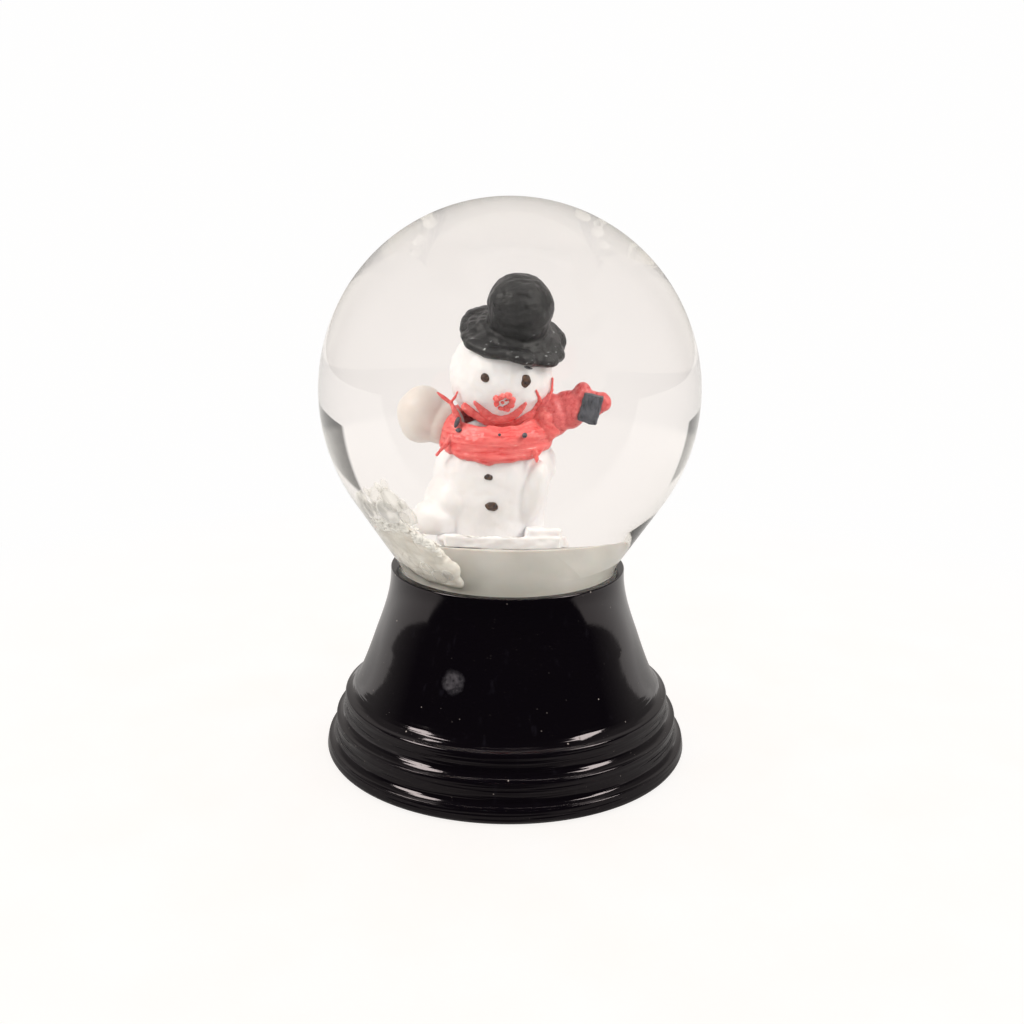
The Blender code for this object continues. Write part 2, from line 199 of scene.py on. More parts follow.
def turned(name, profile, mat, segments=192, closed=False):
    """A turned object; closed joins the profile's last point to its first."""
    bm = bmesh.new()
    add_turned(bm, profile, segments, closed)
    bmesh.ops.recalc_face_normals(bm, faces=bm.faces)
    return to_object(name, bm, mat)


def rounded(corners, steps=4):
    """Corners (r, z, cut): each cut corner becomes a short curve that starts cut before it."""
    points = []
    for i, (r, z, cut) in enumerate(corners):
        here = Vector((r, z))
        if not cut:
            points.append((r, z))
            continue
        before = Vector(corners[i - 1][:2]) - here
        after = Vector(corners[(i + 1) % len(corners)][:2]) - here
        start = here + before.normalized() * min(cut, before.length / 2)
        end = here + after.normalized() * min(cut, after.length / 2)
        for k in range(steps + 1):
            t = k / steps
            point = start * (1 - t) ** 2 + here * 2 * t * (1 - t) + end * t * t
            points.append(tuple(point))
    return points


def arc(radius, centre_z, start, end, steps):
    """Points (r, z) on a circle centred on the axis."""
    angles = [start + (end - start) * i / steps for i in range(steps + 1)]
    return [(radius * cos(a), centre_z + radius * sin(a)) for a in angles]


def cubic(p0, p1, p2, p3, steps):
    """Points on a Bezier curve."""
    points = []
    for i in range(steps + 1):
        t = i / steps
        weights = ((1 - t) ** 3, 3 * t * (1 - t) ** 2, 3 * t * t * (1 - t), t**3)
        points.append(tuple(sum(w * p[k] for w, p in zip(weights, (p0, p1, p2, p3))) for k in (0, 1)))
    return points


def placing(centre, turn, size):
    """Matrix that scales by size, turns by degrees and moves to a centre."""
    turned_by = Euler([radians(a) for a in turn]).to_matrix().to_4x4()
    return Matrix.Translation(Vector(centre)) @ turned_by @ Matrix.Diagonal((*size, 1.0))


def add_ellipsoid(bm, centre, radii, turn=(0, 0, 0), segments=32, rings=20):
    made = bmesh.ops.create_uvsphere(bm, u_segments=segments, v_segments=rings, radius=1.0)
    bmesh.ops.transform(bm, matrix=placing(centre, turn, radii), verts=made["verts"])


def add_plate(bm, centre, size, turn=(0, 0, 0)):
    made = bmesh.ops.create_cube(bm, size=1.0)
    bmesh.ops.transform(bm, matrix=placing(centre, turn, size), verts=made["verts"])


def fused(name, bm, mat, voxel, smoothing, lumps=()):
    """Melts overlapping shapes into one skin, relaxes it, then adds lumps (height, size)."""
    obj = to_object(name + "_raw", bm)
    remesh = obj.modifiers.new("skin", "REMESH")
    remesh.mode = "VOXEL"
    remesh.voxel_size = voxel * MM
    relax = obj.modifiers.new("relax", "SMOOTH")
    relax.iterations = smoothing
    relax.factor = 0.5
    graph = bpy.context.evaluated_depsgraph_get()
    mesh = bpy.data.meshes.new_from_object(obj.evaluated_get(graph))
    bpy.data.objects.remove(obj)
    mesh.name = name
    mesh.materials.clear()
    mesh.materials.append(mat)
    mesh.shade_smooth()
    result = new_object(name, mesh)
    for height, size in lumps:
        roughen(result, height, size)
    return result


def roughen(obj, height, size):
    """Pushes points along their normals by smooth noise of this height and size."""
    normals = [v.normal.copy() for v in obj.data.vertices]
    for vertex, normal in zip(obj.data.vertices, normals):
        vertex.co += normal * noise.noise(vertex.co / (size * MM)) * height * MM
    obj.data.update()


def keep_above(obj, z):
    """Flattens whatever hangs below a height."""
    for vertex in obj.data.vertices:
        vertex.co.z = max(vertex.co.z, z * MM)
    obj.data.update()


def settle(obj, body, slot, *nodes):
    """Rides on a body and stands for CAD nodes, if any; the slot argument is not used."""
    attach(obj, body)
    if nodes:
        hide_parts(*nodes)


# ---- material helpers


class Graph:
    """A node tree with short ways to add to it; a material's tree has a Principled shader."""

    def __init__(self, name, tree=None):
        if tree is None:
            self.material = bpy.data.materials.new(name)
            self.material.use_nodes = True
            tree = self.material.node_tree
            self.shader = tree.nodes["Principled BSDF"]
            self.output = tree.nodes["Material Output"]
        self.tree = tree
        self.coords = self.add("ShaderNodeTexCoord").outputs["Object" if name else "Generated"]

    def add(self, kind, **inputs):
        node = self.tree.nodes.new(kind)
        for key, value in inputs.items():
            self.put(node.inputs[key.replace("_", " ")], value)
        return node

    def put(self, socket, value):
        """Links a socket to another, or to a node's first output, or gives it a value."""
        if isinstance(value, bpy.types.Node):
            value = value.outputs[0]
        if isinstance(value, bpy.types.NodeSocket):
            self.tree.links.new(value, socket)
        elif socket.type == "RGBA" and len(value) == 3:
            socket.default_value = (*value, 1.0)
        else:
            socket.default_value = value

    def set(self, **inputs):
        for key, value in inputs.items():
            self.put(self.shader.inputs[key.replace("_", " ")], value)

    def colour(self, fac, a, b):
        self.set(Base_Color=self.mix(fac, a, b))

    def rough(self, size, low, high):
        """Roughness that drifts between two values over blotches of a size."""
        self.set(Roughness=self.ramp(self.noise(size), 0.3, 0.7, low, high))

    def noise(self, size, detail=3.0, rough=0.5, vector=None, warp=0.0):
        """Noise whose features are about size millimetres across."""
        node = self.add("ShaderNodeTexNoise", Scale=1 / (size * MM), Detail=detail)
        self.put(node.inputs["Roughness"], rough)
        self.put(node.inputs["Distortion"], warp)
        self.put(node.inputs["Vector"], vector or self.coords)
        return node.outputs["Fac"]

    def cells(self, size, feature="F1"):
        """Distance to scattered points, or to the edges between them, size millimetres apart."""
        node = self.add("ShaderNodeTexVoronoi", Vector=self.coords, Scale=1 / (size * MM))
        node.feature = feature
        return node.outputs["Distance"]

    def stretch(self, scale, turn=(0, 0, 0), vector=None):
        node = self.add("ShaderNodeMapping")
        self.put(node.inputs["Vector"], vector or self.coords)
        node.inputs["Scale"].default_value = scale
        node.inputs["Rotation"].default_value = turn
        return node.outputs["Vector"]

    def ramp(self, value, low, high, out_low=0.0, out_high=1.0):
        node = self.add("ShaderNodeMapRange", Value=value)
        node.inputs["From Min"].default_value = low
        node.inputs["From Max"].default_value = high
        node.inputs["To Min"].default_value = out_low
        node.inputs["To Max"].default_value = out_high
        return node.outputs["Result"]

    def math(self, operation, a, b=0.0, c=0.0):
        node = self.add("ShaderNodeMath")
        node.operation = operation
        for socket, value in zip(node.inputs, (a, b, c)):
            self.put(socket, value)
        return node.outputs["Value"]

    def times(self, a, b):
        return self.math("MULTIPLY", a, b)

    def mix(self, fac, a, b):
        node = self.add("ShaderNodeMix")
        node.data_type = "RGBA"
        self.put(node.inputs["Factor"], fac)
        self.put(node.inputs[6], a)
        self.put(node.inputs[7], b)
        return node.outputs[2]

    def bump(self, height, distance, strength=1.0, normal=None):
        node = self.add("ShaderNodeBump", Height=height, Strength=strength)
        node.inputs["Distance"].default_value = distance * MM
        if normal:
            self.put(node.inputs["Normal"], normal)
        return node.outputs["Normal"]

    def relief(self, *bump):
        self.set(Normal=self.bump(*bump))

    def split(self):
        return self.add("ShaderNodeSeparateXYZ", Vector=self.coords).outputs

    def around(self, centre_x):
        """Coordinates that run round a vertical axis: turn, distance out, height."""
        x, y, z = self.split()
        shifted = self.math("SUBTRACT", x, centre_x * MM)
        angle = self.math("ARCTAN2", y, shifted)
        arc_length = self.times(angle, NECK_GIRTH * MM)
        node = self.add("ShaderNodeCombineXYZ", X=arc_length, Y=self.hypotenuse(shifted, y), Z=z)
        return node.outputs["Vector"]

    def hypotenuse(self, a, b):
        return self.math("SQRT", self.math("ADD", self.math("POWER", a, 2.0), self.math("POWER", b, 2.0)))

    def blend(self, fac, first, second):
        mixer = self.add("ShaderNodeMixShader")
        self.put(mixer.inputs["Fac"], fac)
        self.put(mixer.inputs[1], first)
        self.put(mixer.inputs[2], second)
        return mixer.outputs["Shader"]

    def show(self, surface):
        self.put(self.output.inputs["Surface"], surface)


# ---- materials


def black_plastic():
    """Moulded gloss black with fine streaks, hairline scratches, dust and a thumb smudge."""
    g = Graph("gloss_black_plastic")
    dust_where = g.ramp(g.noise(4.5, 3.0, 0.6), 0.50, 0.62, 0.25, 1.0)
    dust = g.times(g.ramp(g.cells(1.9), 0.055, 0.03), dust_where)
    grit_where = g.ramp(g.noise(3.0, 3.0), 0.56, 0.66, 0.0, 0.5)
    grit = g.times(g.ramp(g.cells(0.5), 0.09, 0.04), grit_where)
    dust = g.math("MAXIMUM", dust, grit)
    smudge_at = g.add("ShaderNodeVectorMath", Vector=g.coords)
    smudge_at.operation = "DISTANCE"
    smudge_at.inputs[1].default_value = (-6.0 * MM, -15.5 * MM, 14.0 * MM)
    smudge_edge = g.math("ADD", smudge_at.outputs["Value"], g.times(g.noise(0.9), 0.9 * MM))
    smudge = g.ramp(smudge_edge, 1.9 * MM, 1.2 * MM)
    smudge = g.times(smudge, g.ramp(g.noise(0.5, 4.0), 0.35, 0.65, 0.35, 1.0))
    streaks = g.noise(0.8, 2.0, vector=g.stretch((1.0, 1.0, 0.03)))
    streak = g.ramp(streaks, 0.66, 0.76, 0.0, 0.35)
    tone = g.mix(streak, (0.0022, 0.0016, 0.0026), (0.010, 0.009, 0.013))
    tone = g.mix(smudge, tone, (0.050, 0.047, 0.054))
    g.colour(dust, tone, (0.36, 0.32, 0.29))
    haze = g.ramp(g.noise(6.0, 2.0), 0.35, 0.7, 0.07, 0.12)
    g.set(Specular_Tint=(1.0, 0.90, 0.91), Specular_IOR_Level=0.4)
    worn = g.math("MAXIMUM", dust, smudge)
    g.set(Roughness=g.math("ADD", haze, g.times(worn, 0.4)))
    scratches = g.noise(0.25, 2.0, vector=g.stretch((1.0, 1.0, 0.04)))
    fine = g.bump(scratches, 0.004, 0.5)
    turning = g.noise(0.36, 1.0, vector=g.stretch((0.03, 0.03, 1.0)))
    turned_low = g.times(turning, g.ramp(g.split()["Z"], 9.5 * MM, 7.5 * MM))
    fine = g.bump(turned_low, 0.14, 0.8, fine)
    orange_peel = g.bump(g.noise(1.6, 2.0), 0.012, 0.6, fine)
    g.relief(dust, 0.03, 1.0, orange_peel)
    return g.material


def clear_glass(name, ior):
    """Shadow and diffuse rays go straight through, so that the inside is lit without caustics."""
    g = Graph(name)
    wave = g.bump(g.noise(9.0, 1.0), 0.05, 0.6)
    glass = g.add("ShaderNodeBsdfGlass", Color=(0.985, 0.99, 0.985), Roughness=0.0, IOR=ior, Normal=wave)
    rays = g.add("ShaderNodeLightPath").outputs
    straight = g.math("MAXIMUM", rays["Is Shadow Ray"], rays["Is Diffuse Ray"])
    clear = g.add("ShaderNodeBsdfTransparent", Color=(0.97, 0.975, 0.97))
    g.show(g.blend(straight, glass, clear))
    return g.material


def water():
    """The interface to the glass is on the globe's inner wall, so the water only tints."""
    g = Graph("liquid")
    cloud = g.ramp(g.noise(8.0, 2.0), 0.3, 0.7, 0.0, 0.02)
    clear = g.add("ShaderNodeBsdfTransparent", Color=(0.99, 0.98, 0.965))
    haze = g.add("ShaderNodeBsdfDiffuse", Color=(0.9, 0.88, 0.84))
    g.show(g.blend(cloud, clear, haze))
    return g.material


def rubber():
    g = Graph("off_white_rubber")
    stain = g.ramp(g.noise(5.0, 4.0), 0.3, 0.7)
    fleck = g.ramp(g.cells(0.9), 0.12, 0.05)
    tone = g.mix(stain, (0.46, 0.445, 0.42), (0.57, 0.555, 0.53))
    g.colour(g.times(fleck, 0.3), tone, (0.42, 0.38, 0.33))
    g.rough(1.2, 0.45, 0.7)
    g.set(Subsurface_Weight=0.15, Subsurface_Scale=0.002)
    g.relief(g.noise(0.5, 4.0), 0.03, 0.7)
    return g.material


def sealant():
    g = Graph("sealant")
    g.colour(g.noise(2.0), (0.55, 0.53, 0.50), (0.80, 0.79, 0.76))
    g.rough(0.8, 0.25, 0.5)
    g.relief(g.noise(0.6, 3.0), 0.04, 0.8)
    return g.material


def resin_white(name, low, high, sheen=0.0):
    """Cast white resin: warm blotches, fine pits and a soft sheen."""
    g = Graph(name)
    blotch = g.ramp(g.noise(2.6, 4.0), 0.3, 0.72)
    tone = g.mix(blotch, low, high)
    pits = g.ramp(g.cells(0.5), 0.10, 0.03)
    g.colour(g.times(pits, 0.35), tone, (0.62, 0.56, 0.50))
    g.rough(0.7, 0.32, 0.6)
    g.set(Sheen_Weight=sheen)
    g.set(Subsurface_Weight=0.25, Subsurface_Scale=0.0012)
    g.set(Subsurface_Radius=(1.0, 0.75, 0.6))
    g.relief(g.noise(0.55, 5.0, 0.6), 0.05, 0.8)
    return g.material


def hat_paint():
    """Charcoal paint laid on in curved brush strokes, with glossy ridges and painted glints: light grey
    specks in the colour that stand in for highlights.
    """
    g = Graph("hat_paint")
    strokes = g.noise(0.5, 5.0, 0.6, g.stretch((0.35, 1.0, 1.6), (0.2, 0.5, 0.3)), 0.6)
    tone = g.mix(g.ramp(strokes, 0.35, 0.7), (0.011, 0.011, 0.012), (0.028, 0.028, 0.030))
    # Painted highlight: light grey specks, kept low on the hat near the brim, stand in for glints of the
    # lamps.
    painted_glint = g.ramp(g.noise(0.42, 2.0, vector=g.stretch((0.6, 1.0, 1.3))), 0.67, 0.71)
    painted_glint = g.times(painted_glint, g.ramp(g.split()["Z"], 50.4 * MM, 49.9 * MM))
    g.colour(painted_glint, tone, (0.42, 0.43, 0.44))
    g.set(Roughness=g.ramp(strokes, 0.3, 0.7, 0.25, 0.5), Specular_IOR_Level=0.35)
    g.relief(strokes, 0.07, 0.9, g.bump(g.noise(0.9, 3.0), 0.08, 0.8))
    return g.material


def brushed_red(name, deep, light, thin, coverage=0.62):
    """Red paint brushed round the neck: streaks, thin places that let the white show, wet ridges."""
    g = Graph(name)
    round_neck = g.around(BODY_X)
    streak = g.noise(0.35, 4.0, 0.6, g.stretch((0.16, 1.0, 1.0), vector=round_neck), 0.3)
    broad = g.noise(1.8, 3.0)
    tone = g.mix(g.ramp(streak, 0.32, 0.68), deep, light)
    bare = g.times(g.ramp(streak, coverage, coverage + 0.1), g.ramp(broad, 0.45, 0.62))
    g.colour(bare, tone, thin)
    g.set(Roughness=g.ramp(streak, 0.3, 0.7, 0.22, 0.48))
    g.set(Subsurface_Weight=0.12, Subsurface_Scale=0.0008)
    g.relief(streak, 0.09, 0.9, g.bump(broad, 0.06, 0.6))
    return g.material


def dark_paint():
    g = Graph("dark_paint")
    tone = g.mix(g.ramp(g.noise(0.35, 3.0), 0.35, 0.65), (0.020, 0.014, 0.016), (0.11, 0.055, 0.03))
    g.set(Base_Color=tone)
    g.rough(0.2, 0.2, 0.45)
    g.relief(g.noise(0.25, 3.0), 0.05, 0.8)
    return g.material


def slate_paint():
    g = Graph("slate_paint")
    grain = g.noise(0.3, 4.0, 0.6, g.stretch((1.0, 1.0, 0.4)))
    g.colour(g.ramp(grain, 0.3, 0.7), (0.028, 0.030, 0.040), (0.12, 0.125, 0.15))
    g.set(Roughness=g.ramp(grain, 0.3, 0.7, 0.25, 0.5))
    g.relief(grain, 0.06, 0.9)
    return g.material


def flake_white():
    """Thin plastic snow: each flake a little lighter, darker or more see-through."""
    g = Graph("flake_white")
    each = g.add("ShaderNodeNewGeometry").outputs["Random Per Island"]
    tone = g.mix(each, (0.92, 0.90, 0.87), (0.99, 0.98, 0.96))
    g.colour(g.ramp(g.noise(0.6), 0.35, 0.7), tone, (0.96, 0.94, 0.91))
    g.rough(0.3, 0.2, 0.5)
    g.relief(g.noise(0.25, 3.0), 0.03, 0.8)
    return g.material


def flake_wet():
    """Flakes held against the glass: nearly clear in the middle, white at the rim."""
    g = Graph("flake_wet")
    rim = g.add("ShaderNodeAttribute")
    rim.attribute_name = "rim"
    each = g.add("ShaderNodeNewGeometry").outputs["Random Per Island"]
    edge = g.ramp(rim.outputs["Fac"], 0.80, 1.0, 0.0, 0.35)
    body = g.ramp(each, 0.0, 1.0, 0.12, 0.40)
    cover = g.math("MINIMUM", g.math("ADD", edge, body), 1.0)
    g.set(Base_Color=g.mix(g.noise(0.7), (0.93, 0.91, 0.88), (0.99, 0.98, 0.97)), Roughness=0.4)
    g.relief(g.noise(0.3, 3.0), 0.03, 0.8)
    clear = g.add("ShaderNodeBsdfTransparent", Color=(0.985, 0.98, 0.97))
    g.show(g.blend(cover, clear, g.shader))
    return g.material


def shaded_snow_mass():
    """Packed wet snow, slightly translucent; its beige-grey is painted shade, darker than the flakes' own
    white, and the darker outlines of flakes in it are painted shade too.
    """
    g = Graph("shaded_snow_mass")
    patch = g.ramp(g.noise(2.2, 4.0), 0.32, 0.70)
    # Painted shade: both tones sit well below the white of the loose flakes, for the heap lying in shade.
    tone = g.mix(patch, (0.68, 0.65, 0.60), (0.84, 0.81, 0.765))
    # Painted shade along the edges of the packed flakes.
    flake_edge_shade = g.ramp(g.cells(1.5, "DISTANCE_TO_EDGE"), 0.05, 0.015)
    flake_edge_shade = g.times(flake_edge_shade, g.ramp(g.noise(2.5), 0.48, 0.62))
    g.colour(g.times(flake_edge_shade, 0.6), tone, (0.42, 0.37, 0.31))
    g.rough(0.8, 0.3, 0.6)
    g.set(Subsurface_Weight=0.5, Subsurface_Scale=0.0015, Subsurface_Radius=(1.0, 0.9, 0.8))
    g.relief(g.noise(1.1, 3.0), 0.10, 0.7)
    return g.material


def felt():
    g = Graph("pad_felt")
    fibres = g.noise(0.25, 6.0, 0.7, g.stretch((1.0, 0.3, 1.0)), 1.0)
    g.colour(fibres, (0.012, 0.012, 0.014), (0.05, 0.05, 0.055))
    g.set(Roughness=0.95, Sheen_Weight=0.5, Sheen_Roughness=0.5)
    g.relief(fibres, 0.15, 1.0)
    return g.material


def board():
    g = Graph("closing_board")
    grain = g.noise(0.4, 5.0, 0.7)
    g.colour(grain, (0.020, 0.019, 0.018), (0.05, 0.047, 0.045))
    g.set(Roughness=g.ramp(grain, 0.3, 0.7, 0.6, 0.85), Normal=g.bump(grain, 0.03, 0.8))
    return g.material


# ---- base and vessel


def base_profile():
    """Outline of the hollow base: lip, flare, ringed foot, then back up the inside to the socket."""
    flare = cubic((LIP_OUTER, LIP_Z - 0.2), (14.25, 20.6), (15.0, 18.2), FLARE_MIDDLE, 24)
    flare += cubic(FLARE_MIDDLE, (17.1, 12.4), (17.9, 10.2), FLARE_END, 24)[1:]
    flare += cubic(FLARE_END, (18.95, 8.15), (19.3, 7.75), (RING_A[0] - 0.35, RING_A[1] + 0.12), 12)[1:]
    outside = [(LIP_INNER, LIP_Z - 0.9, 0), (LIP_INNER, LIP_Z, 0.14), (LIP_OUTER, LIP_Z, 0.22)]
    outside += [(r, z, 0) for r, z in flare[1:]]
    outside.append((*RING_A, 0.35))
    for (r0, _), (r1, z1) in ((RING_A, RING_B), (RING_B, RING_C)):
        cove = r1 - r0
        bend = [pi * (1 + i / 20) for i in range(11)]
        outside.append((r0, z1 + cove + 0.1, 0.12))
        outside += [(r1 + cove * cos(a), z1 + cove + cove * sin(a), 0) for a in bend[1:-1]]
        outside.append((r1, z1, 0.55))
    outside += [(FOOT_RADIUS, FOOT_Z + 0.4, 0.2), (FOOT_RADIUS - 0.25, FOOT_Z, 0.1)]
    inside = [
        (RECESS_RADIUS, FOOT_Z, 0.1),
        (RECESS_RADIUS, RECESS_Z, 0.1),
        (19.1, RECESS_Z, 0.1),
        (18.2, 6.0, 0.5),
        (15.6, 10.0, 0.5),
        (14.2, SHELF_Z, 0.3),
        (SHELF_HOLE_RADIUS, SHELF_Z, 0.1),
        (SHELF_HOLE_RADIUS, SHELF_Z + SHELF_THICKNESS, 0.1),
        (SOCKET_RADIUS, SHELF_Z + SHELF_THICKNESS, 0.1),
        (SOCKET_RADIUS, LIP_Z - 0.9, 0),
    ]
    return rounded(outside + inside, 6)


def make_base(black):
    shell = turned("base_turned", base_profile(), black, 256, closed=True)
    settle(shell, GLOBE, "gloss_black_plastic", "base_shell")
    pad_low, pad_high = span("felt_pad")
    edge = pad_high.x
    top_and_side = [(0, pad_high.z, 0), (edge, pad_high.z, 0.1), (edge, pad_low.z, 0.15)]
    pad = turned("base_felt", rounded(top_and_side + felt_underside(edge)), felt(), 128)
    settle(pad, GLOBE, "pad_felt", "felt_pad")
    frame["nodes"]["closing_disc"].data.materials[0] = board()


def felt_underside(edge):
    """Rings across the felt's underside, so that it can carry its nap."""
    rings = 24
    return [(edge * (1 - (i + 1) / rings), 0.0, 0) for i in range(rings)]


def glass_profile(offset, bottom_z):
    """Outer side of the globe, moved inwards by offset: sphere, cone, blend and neck."""
    radius = GLOBE_RADIUS - offset
    sphere = arc(radius, GLOBE_CENTRE_Z, pi / 2, SHOULDER_ANGLE, 96)
    sphere[0] = (0.0, sphere[0][1])
    neck = NECK_RADIUS - offset
    end_r, end_z = sphere[-1]
    neck_z = end_z - (end_r - neck) / tan(-SHOULDER_ANGLE)
    waist = rounded([(end_r, end_z, 0), (neck, neck_z, 2.4), (neck, bottom_z, 0)], 12)
    return sphere + waist[1:]


def make_vessel():
    """The globe's outer wall bends light as glass in air; its inner wall as glass in water."""
    bm = bmesh.new()
    outer = glass_profile(0.0, glass_low.z)
    inner = glass_profile(GLASS_WALL, glass_low.z)
    add_turned(bm, outer, 256)
    add_turned(bm, inner[::-1], 256, material_index=1)
    add_turned(bm, [outer[-1], inner[-1]], 256)
    bmesh.ops.remove_doubles(bm, verts=bm.verts, dist=1e-4)
    bmesh.ops.recalc_face_normals(bm, faces=bm.faces)
    globe = to_object("globe_glass", bm, clear_glass("clear_glass", GLASS_IOR))
    globe.data.materials.append(clear_glass("clear_glass_wet_side", GLASS_IOR / WATER_IOR))
    settle(globe, GLOBE, "clear_glass", "glass_globe")
    bottom = stopper_high.z - 6.5
    inside = glass_profile(GLASS_WALL + 0.03, bottom)
    liquid = turned("globe_water", inside + [(0.0, bottom)], water())
    settle(liquid, GLOBE, "liquid", "liquid_fill")
    bead = rounded(
        [
            (NECK_RADIUS + 0.06, LIP_Z - 1.2, 0),
            (NECK_RADIUS + 0.22, LIP_Z - 0.12, 0.1),
            (LIP_INNER - 0.06, LIP_Z - 0.4, 0.1),
            (LIP_INNER - 0.06, LIP_Z - 1.2, 0),
            (13.6, LIP_Z - 1.6, 0),
            (13.6, glass_low.z, 0),
            (NECK_RADIUS + 0.06, glass_low.z, 0),
        ]
    )
    ring = turned("neck_bead", bead, sealant(), closed=True)
    settle(ring, GLOBE, "sealant", "neck_sealant")


def make_bung():
    """A stopper with a flange below the glass; its top stands in the water."""
    top = stopper_high.z
    neck = NECK_RADIUS - GLASS_WALL - 0.1
    flange_z = glass_low.z - 0.3
    corners = [(r, top, 0) for r in (0.0, 3.0, 6.0, 8.5, 10.0)]
    corners += [
        (STOPPER_RADIUS, top, 0.22),
        (STOPPER_RADIUS + 0.1, top - 3.0, 0),
        (STOPPER_RADIUS + 0.2, 23.0, 0.8),
        (neck, 20.0, 0.8),
        (neck, flange_z, 0.1),
        (NECK_RADIUS, flange_z, 0.2),
        (NECK_RADIUS, stopper_low.z, 0.2),
        (0.0, stopper_low.z, 0),
    ]
    bung = turned("rubber_bung", rounded(corners, 6), rubber())
    roughen(bung, 0.12, 3.0)
    settle(bung, GLOBE, "off_white_rubber", "stopper")


# ---- snowman


def make_slab(white):
    """The block under the figure, down to the stopper, with a taller end on one side."""
    bm = bmesh.new()
    low = Vector((slab_low.x + 0.3, slab_low.y, stopper_high.z - 0.05))
    high = Vector((slab_high.x - 0.3, slab_high.y, SLAB_FLAT_Z))
    add_plate(bm, (low + high) / 2, high - low)
    add_plate(bm, (slab_high.x - 2.0, slab_low.y + 1.3, SLAB_FLAT_Z), (3.2, 2.1, 1.9), (0, 3, 4))
    add_ellipsoid(bm, (slab_low.x + 1.4, slab_low.y + 1.8, SLAB_FLAT_Z - 0.5), (1.7, 1.6, 0.8))
    slab = fused("figure_plinth", bm, white, 0.14, 12, [(0.26, 2.4), (0.12, 0.8)])
    keep_above(slab, stopper_high.z - 0.05)
    settle(slab, GLOBE, "figure_white", "figure_slab")


def make_body(white):
    """A skirt-like body with one foot pushed forward and a bent leg on the other side."""
    bm = bmesh.new()
    add_turned(bm, rounded([(r, z, 0.8 if r else 0) for r, z in BODY_BELL], 3), 96)
    bmesh.ops.recalc_face_normals(bm, faces=bm.faces)
    for vertex in bm.verts:
        vertex.co.x += BODY_X - 0.25 + BELL_LEAN * (vertex.co.z - BELL_UPRIGHT_Z)
        vertex.co.y *= BELL_DEPTH
    add_ellipsoid(bm, (-4.6, -1.0, 34.6), (3.0, 3.3, 3.2))
    add_ellipsoid(bm, (-6.5, -2.2, 33.0), (2.5, 2.2, 2.0), (0, 14, -20))
    add_ellipsoid(bm, (2.05, -3.0, 35.6), (1.25, 1.4, 3.4), (8, 16, 0))
    add_ellipsoid(bm, (2.3, 0.6, 38.0), (1.9, 2.4, 2.2))
    body = fused("snowman_torso", bm, white, 0.15, 16, [(0.14, 2.6), (0.05, 0.8)])
    keep_above(body, SLAB_FLAT_Z - 0.1)
    settle(body, GLOBE, "figure_white", "snowman_body")
    return body


def on_head(x, z, out=0.0):
    """Point on the front of the head, out millimetres off its skin."""
    offset = Vector((x - HEAD.x, 0.0, z - HEAD.z))
    offset.y = -sqrt(max(HEAD_RADIUS**2 - offset.length_squared, 0.0))
    return HEAD + offset * (1 + out / HEAD_RADIUS)


def on_front(obj, x, z):
    """Point on an object's front, straight behind (x, z)."""
    found, place, _, _ = obj.ray_cast(Vector((x, -30.0, z)) * MM, Vector((0.0, 1.0, 0.0)))
    return place / MM if found else Vector((x, 0.0, z))


def make_head(white):
    bm = bmesh.new()
    add_ellipsoid(bm, HEAD, (HEAD_RADIUS, HEAD_RADIUS, HEAD_RADIUS))
    add_ellipsoid(bm, on_head(-2.4, 44.2, -1.6), (1.9, 1.7, 1.6))
    add_ellipsoid(bm, on_head(1.5, 44.2, -1.6), (1.9, 1.7, 1.6))
    head = fused("snowman_face", bm, white, 0.15, 6, [(0.16, 2.6), (0.06, 0.7)])
    settle(head, GLOBE, "figure_white", "snowman_head")


def make_hat(paint):
    """A bowler with a full crown and a thick, wavy brim that droops on one side."""
    bm = bmesh.new()
    add_ellipsoid(bm, (0, 0, 3.5), (3.05, 3.05, 2.85))
    add_ellipsoid(bm, (0.1, 0, 2.2), (2.9, 2.95, 2.4))
    add_ellipsoid(bm, (0, 0, 0.9), (3.5, 3.5, 0.8))
    add_ellipsoid(bm, (0, 0, 0.55), (4.3, 4.3, 0.55))
    lumps = 72
    for i in range(lumps):
        turn = 2 * pi * i / lumps
        wave = noise.noise(Vector((1.9 * cos(turn), 1.9 * sin(turn), 7.0)))
        reach = 4.0 + 0.55 * wave
        droop = 0.85 * abs(cos(turn)) ** 1.5
        centre = (reach * cos(turn), reach * sin(turn), 0.6 - droop + 0.35 * wave)
        size = 0.82 + 0.25 * wave
        add_ellipsoid(bm, centre, (size, size, 0.62), segments=20, rings=12)
    turn = Euler(HAT_TURN).to_matrix().to_4x4()
    bmesh.ops.transform(bm, matrix=Matrix.Translation(HAT_PLACE) @ turn, verts=bm.verts)
    hat = fused("bowler_hat", bm, paint, 0.12, 7, [(0.16, 1.4), (0.07, 0.5)])
    settle(hat, GLOBE, "hat_paint", "hat")


def add_stroke(bm, points, widths, thickness):
    """A brush stroke: a flattened blob at each of many steps along a smooth path."""
    steps = 8
    for i in range(len(points) - 1):
        for k in range(steps):
            t = k / steps
            place = points[i].lerp(points[i + 1], t)
            width = widths[i] * (1 - t) + widths[i + 1] * t
            add_ellipsoid(bm, place, (width, thickness, width), segments=12, rings=8)


